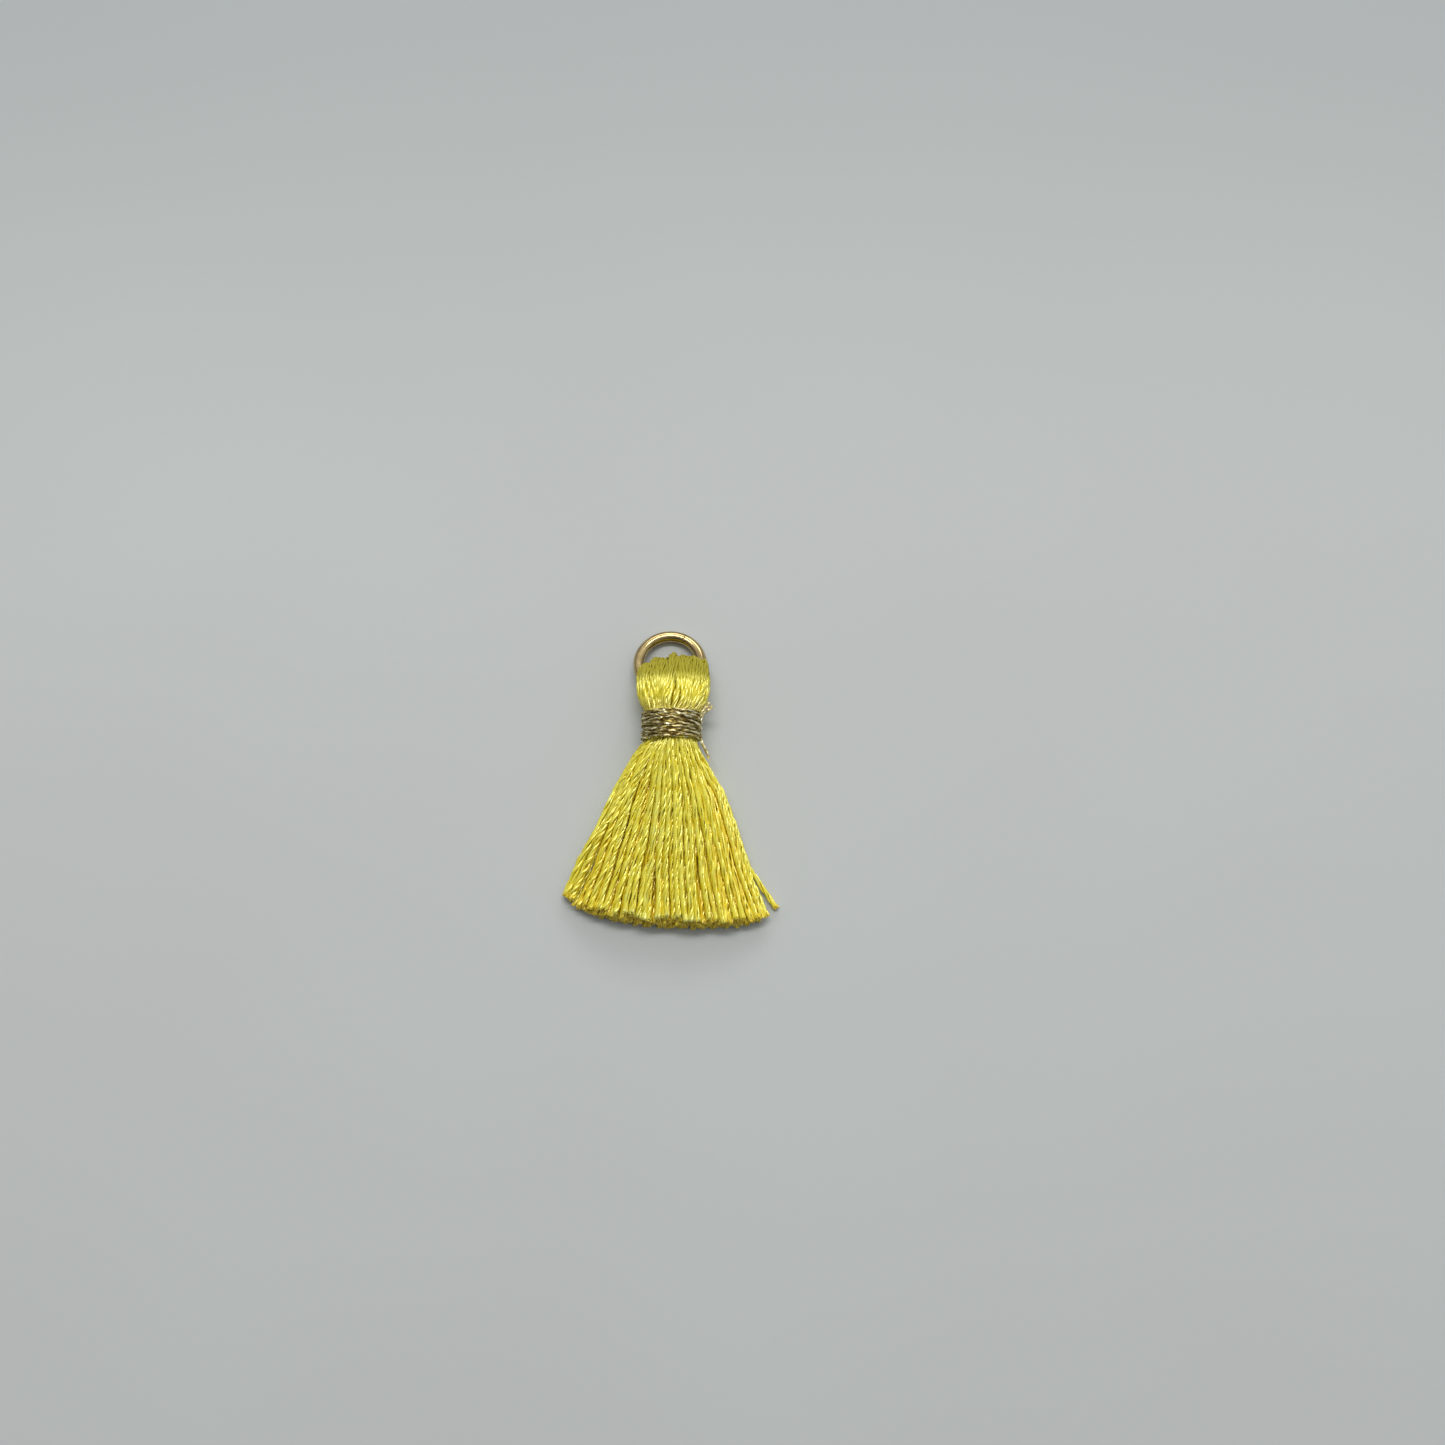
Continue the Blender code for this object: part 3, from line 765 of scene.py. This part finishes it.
def make_skirt(finish):
    paths, radii = skirt_paths()
    phases = rng.uniform(0, TAU, STRANDS)
    tints = rng.uniform(0, 1, STRANDS)
    height = paths[:, paths.shape[1] // 2, 2] + 1.5 * paths[:, -1, 2]
    rank = np.argsort(np.argsort(height)) * len(SKIRT_PIECES) // STRANDS
    shaded = shaded_ends(paths)
    for layer, name in enumerate(SKIRT_PIECES):
        chosen = rank == layer
        mesh = ThreadMesh()
        for rings, along in ply_rings(paths[chosen], radii[chosen], SKIRT_TWIST, phases[chosen]):
            rings[..., 2] = np.maximum(rings[..., 2], 0.01)
            shade = varied(tints[chosen])
            # painted highlight near the tips of high cut ends, painted shade near the tips of low ones
            near_end = np.exp(-(((along[:, -1:] - along) / LIT_END_LENGTH) ** 2))[..., None]
            low = shaded[chosen, None, None]
            painted_shade_and_highlight = np.maximum(shade_under_skin(rings), near_end * low) - LIT_END_STRENGTH * near_end * (1 - low)
            mesh.add(rings, along, shade, painted_shade_and_highlight, close_tips=0.02)
        mesh.build(name, finish, "yarn", "yarn", crisp=YARN_CRISP)
    mesh = ThreadMesh()
    add_cut_ends(mesh, paths, radii, tints)
    mesh.build("cut_ends", finish, "yarn", "yarn", crisp=YARN_CRISP)


# Head


def ring_axes():
    return np.array((1.0, 0.0, 0.0)), np.array((0.0, math.cos(RING_TILT), -math.sin(RING_TILT)))


def off_the_wire(points, radii):
    """Moves points out of the ring's wire, straight away from its middle line."""
    across, along = ring_axes()
    from_centre = points - RING_CENTRE
    u, v = from_centre @ across, from_centre @ along
    spoke = np.hypot(u, v)[..., None]
    in_plane = u[..., None] * across + v[..., None] * along
    nearest = RING_CENTRE + RING_RADIUS * in_plane / np.maximum(spoke, 1e-9)
    away = points - nearest
    distance = np.linalg.norm(away, axis=-1, keepdims=True)
    missing = np.clip(WIRE_RADIUS + radii[..., None] - distance, 0, None)
    return points + away / np.maximum(distance, 1e-9) * missing


def within_sides(paths, y, radii):
    """Keeps the threads between the head's outermost left and right."""
    left, right = interpolated(y, HEAD_SIDES, 1), interpolated(y, HEAD_SIDES, 2)
    paths[..., 0] = np.clip(paths[..., 0], left + radii, right - radii)


def even_across(row, depth, count):
    """Shares from -1 to 1 across a row's outline, evenly spaced round its skin."""
    x = np.sin(np.linspace(-math.pi / 2, math.pi / 2, 800))
    z = (1 - abs(x) ** row.squareness) ** (1 / row.squareness)
    half_width = (row.right - row.left) / 2 - depth
    half_height = (row.high - row.low) / 2 - depth
    steps = np.hypot(np.diff(x * half_width), np.diff(z * half_height))
    along = np.concatenate([[0], np.cumsum(steps)]) / steps.sum()
    return np.interp((np.arange(count) + 0.5) / count, along, x)


def head_point(row, y, across, depth, front):
    """A point of a thread that passes a row at a share of its width; front is 1, and -1 at the back."""
    half_width = (row.right - row.left) / 2 - depth
    half_height = max(0.15, (row.high - row.low) / 2 - depth)
    x = (row.left + row.right) / 2 + half_width * across
    bulge = (1 - abs(across) ** row.squareness) ** (1 / row.squareness)
    z = (row.low + row.high) / 2 + front * half_height * bulge
    return (x, y, z)


def head_route(across, depth):
    """Knots of one thread up the front, over the fold and down the back."""
    drift = rng.uniform(-HEAD_DRIFT, HEAD_DRIFT, HEAD_DRIFTS)
    here = np.clip(across + drift, -WIDEST_ACROSS, WIDEST_ACROSS)
    legs = []
    for front in (1, -1):
        leg = [head_point(row, row.y, at, depth, front) for row, at in zip(NECK_ROWS, here)]
        for row, at in zip(FOLD_ROWS, here[len(NECK_ROWS):]):
            x = head_point(row, 0, at, depth, front)[0]
            top = interpolated(x, FOLD_TOP, 1) - depth
            leg.append(head_point(row, HEAD_WIDEST_Y + row.y * (top - HEAD_WIDEST_Y), at, depth, front))
        legs.append(leg)
    nose_x = (legs[0][-1][0] + legs[1][-1][0]) / 2
    nose = (nose_x, interpolated(nose_x, FOLD_TOP, 1) - depth, FOLD_Z)
    return legs[0] + [nose] + legs[1][::-1]


def head_paths():
    """Threads that run up the front, over the fold and down the back, in layers from the skin inwards."""
    routes = []
    for count, depth in HEAD_LAYERS:
        for across in even_across(NECK_ROWS[-1], depth, count):
            routes.append(head_route(across, depth))
    knots = np.array(routes)
    fine = through(knots, np.linspace(0, knots.shape[1] - 1, 3 * HEAD_SAMPLES))
    paths = np.stack([evenly_spaced(path, HEAD_SAMPLES) for path in fine])
    y = paths[..., 1]
    radii = np.interp(y, (INSIDE_BINDING_Y, 2.6), (NECK_THREAD_RADIUS, HEAD_THREAD_RADIUS))
    same = np.eye(len(paths), dtype=bool)[:, :, None]
    for _ in range(HEAD_ROUNDS):
        apart = paths[:, None] - paths[None, :]
        distance = np.linalg.norm(apart, axis=3)
        spacing = (radii[:, None] + radii[None, :]) * HEAD_SPACING
        distance = np.where(same, spacing, np.maximum(distance, 1e-6))
        push = np.clip(spacing - distance, 0, None) * HEAD_PUSH
        move = (apart / distance[..., None] * push[..., None]).sum(axis=1)
        inside = (abs(y) < INSIDE_BINDING_Y)[..., None]
        paths = paths + np.where(inside, 0.3, 1.0) * move
        paths = off_the_wire(paths, radii * WIRE_PRESS)
        smooth(paths, 0.3)
        y = paths[..., 1]
        within_sides(paths, y, radii)
        top = interpolated(paths[..., 0], FOLD_TOP, 1) - radii
        paths[..., 1] = np.where(y > 6, np.minimum(y, top), y)
        paths[..., 2] = np.maximum(paths[..., 2], radii)
    paths = off_the_wire(paths, radii * WIRE_PRESS)
    within_sides(paths, paths[..., 1], radii)
    smooth(paths, 0.5)
    draw_together(paths)
    return paths, radii


def draw_together(paths):
    """Leans the front threads towards two partings above the binding, where they go under."""
    x, y, z = (paths[..., i].copy() for i in range(3))
    drawn = np.clip((DRAWN_FROM_Y - y) / DRAWN_OVER, 0, 1) * np.clip((y - INSIDE_BINDING_Y) / 0.7, 0, 1)
    front = np.clip((z - FRONT_Z) / 0.4, 0, 1)
    paths[..., 0] = x + drawn * front * (interpolated(x, HEAD_LEANS, 1) - x)
    for place in HEAD_PARTINGS:
        near = np.exp(-(((paths[..., 0] - place) / PARTING_HALF_WIDTH) ** 2))
        paths[..., 2] -= PARTING_DEPTH * front * drawn**2 * near


def make_head(finish):
    paths, radii = head_paths()
    mesh = ThreadMesh()
    tints = rng.uniform(0, 1, len(paths))
    phases = rng.uniform(0, TAU, len(paths))
    for rings, along in ply_rings(paths, HEAD_THREAD_SWELL * radii, HEAD_TWIST, phases):
        # painted shade on head threads inside the bundle
        mesh.add(rings, along, varied(tints), shade_under_skin(rings))
    mesh.build("head_threads", finish, "yarn", "yarn", crisp=SMOOTH)


# Binding


def binding_turn(y_from, y_to, layer, slant, lean, samples=70):
    """One turn from the underside round to the underside. slant tips the loop, most at the angle lean."""
    angle = np.linspace(math.pi, 3 * math.pi, samples, endpoint=False)
    y = np.linspace(y_from, y_to, samples, endpoint=False) + slant * np.sin(angle + lean)
    x = BINDING_X + (BINDING_HALF_WIDTH + layer * GOLD_LAYER) * np.sin(angle)
    z = BINDING_Z + (BINDING_HALF_HEIGHT + layer * GOLD_LAYER) * np.cos(angle)
    floor = GOLD_RADIUS + (1 - layer) * GOLD_LAYER
    ride = np.where(y > 0, HEAD_BULGE, SKIRT_BULGE) * np.cos(angle) ** 2 * np.clip(abs(y) - 0.5, 0, 1)
    return np.stack([x, y + ride, np.maximum(z, floor)], axis=1)


def wound_thread():
    """The thread's route: a first layer of turns down the neck, and a crossing second layer back up."""
    turns = []
    for y_from, y_to in zip(FIRST_LAYER_Y, FIRST_LAYER_Y[1:]):
        turns.append(binding_turn(y_from, y_to, 0, rng.uniform(-0.05, 0.05), rng.uniform(0, TAU)))
    for turn in SECOND_LAYER:
        turns.append(binding_turn(turn.y_from, turn.y_to, 1, turn.slant, rng.uniform(-0.5, 0.5)))
    path = np.concatenate(turns)
    for _ in range(4):
        path[1:-1] = (path[:-2] + 2 * path[1:-1] + path[2:]) / 4
    path += GOLD_WANDER * np.stack([wander(1, len(path), 300)[0] for _ in range(3)], axis=1)
    path[:, 2] = np.maximum(path[:, 2], GOLD_RADIUS)
    length = np.linalg.norm(np.diff(path, axis=0), axis=1).sum()
    return evenly_spaced(path, int(length / GOLD_STEP))[None]


def make_binding(finish):
    mesh = ThreadMesh()
    route = wound_thread()
    radii = np.full(route.shape[:2], GOLD_RADIUS)
    for film, (rings, along) in enumerate(ply_rings(route, radii, GOLD_TWIST, rng.uniform(0, TAU, 1))):
        mesh.add(rings, along, np.array([float(film)]))
    for end in LOOSE_GOLD_ENDS:
        fine = through(np.array(end)[None], np.linspace(0, len(end) - 1, 120))[0]
        route = evenly_spaced(fine, LOOSE_GOLD_SAMPLES)[None]
        radii = np.full(route.shape[:2], GOLD_RADIUS + LOOSE_GOLD_THICKER)
        for rings, along in ply_rings(route, radii, LOOSE_GOLD_TWIST, rng.uniform(0, TAU, 1)):
            mesh.add(rings, along, np.array([1.0]))
    mesh.build("gold_binding", finish, "metallic_thread", "binding", crisp=GOLD_CRISP)


# Ring


def make_ring(finish):
    across, along = ring_axes()
    seam = math.pi / 2 - RING_SEAM_FROM_TOP
    half_gap = RING_SEAM_WIDTH / RING_RADIUS / 2
    first, last = seam + half_gap, seam + TAU - half_gap
    middle = np.linspace(first + FILED_ANGLES[2], last - FILED_ANGLES[2], RING_STEPS)
    angles = np.concatenate([first + FILED_ANGLES[:2], middle, last - FILED_ANGLES[1::-1]])
    path = RING_CENTRE + RING_RADIUS * (np.cos(angles)[:, None] * across + np.sin(angles)[:, None] * along)
    _, normals, binormals = frames_along(path[None])
    radii = np.full(len(angles), WIRE_RADIUS)
    radii[:3] *= FILED_RADII
    radii[-3:] *= FILED_RADII[::-1]
    rings = rings_round(path[None], radii[None, :, None] * np.ones(RING_SIDES), normals, binormals)
    mesh = ThreadMesh()
    mesh.add(rings, (angles * RING_RADIUS)[None], np.array([0.5]))
    mesh.build("jump_ring", finish, "gold_plate", "ring", crisp=RING_CRISP)


# Setting


def make_floor():
    bpy.ops.mesh.primitive_plane_add(size=FLOOR_SIZE * MM, location=(0, 0, FLOOR_Z * MM))
    floor = bpy.context.active_object
    floor.name = "paper"
    floor.data.materials.append(paper_material())


def aim(obj, place, target):
    obj.location = Vector(place) * MM
    obj.rotation_euler = (Vector(target) * MM - obj.location).to_track_quat("-Z", "Y").to_euler()


def make_camera():
    lens = bpy.data.cameras.new("camera")
    lens.sensor_width = 36
    lens.lens = 34.65
    lens.clip_start = 5 * MM
    camera = bpy.data.objects.new("camera", lens)
    bpy.context.scene.collection.objects.link(camera)
    aim(camera, CAMERA_PLACE, CAMERA_TARGET)
    bpy.context.scene.camera = camera


def area_light(name, place, size, watts):
    data = bpy.data.lights.new(name, "AREA")
    data.shape = "RECTANGLE"
    data.size, data.size_y = (side * MM for side in size)
    data.energy = watts
    data.color = LAMP_WHITE
    light = bpy.data.objects.new(name, data)
    bpy.context.scene.collection.objects.link(light)
    aim(light, place, LAMP_TARGET)


def make_room():
    """A soft room, brighter towards the far right and overhead."""
    world = bpy.data.worlds.new("soft_room")
    nodes = Nodes(world)
    direction = nodes.place("Generated")
    inputs = {0: direction, 1: BRIGHT_WALL}
    towards = nodes.add("ShaderNodeVectorMath", inputs, operation="DOT_PRODUCT").outputs["Value"]
    walls = nodes.ramp(towards, -0.8, 0.5, to=(0.05, 0.80), smooth=True)
    ceiling = nodes.ramp(nodes.axis(direction, "Z"), -0.05, 0.65, to=(0.35, 1.0))
    nodes.set("Background", Color=ROOM_WHITE, Strength=nodes.maths("MULTIPLY", walls, ceiling))
    bpy.context.scene.world = world


make_camera()
area_light("long_lamp", (0, 230, 515), (420, 80), 1.48)
area_light("window", (60, 540, 300), (400, 160), 0.88)
make_room()
bpy.context.scene.view_settings.view_transform = "Standard"
make_floor()
yarn_finish = yarn_material()
make_skirt(yarn_finish)
make_head(yarn_finish)
make_binding(gold_thread_material())
make_ring(ring_material())
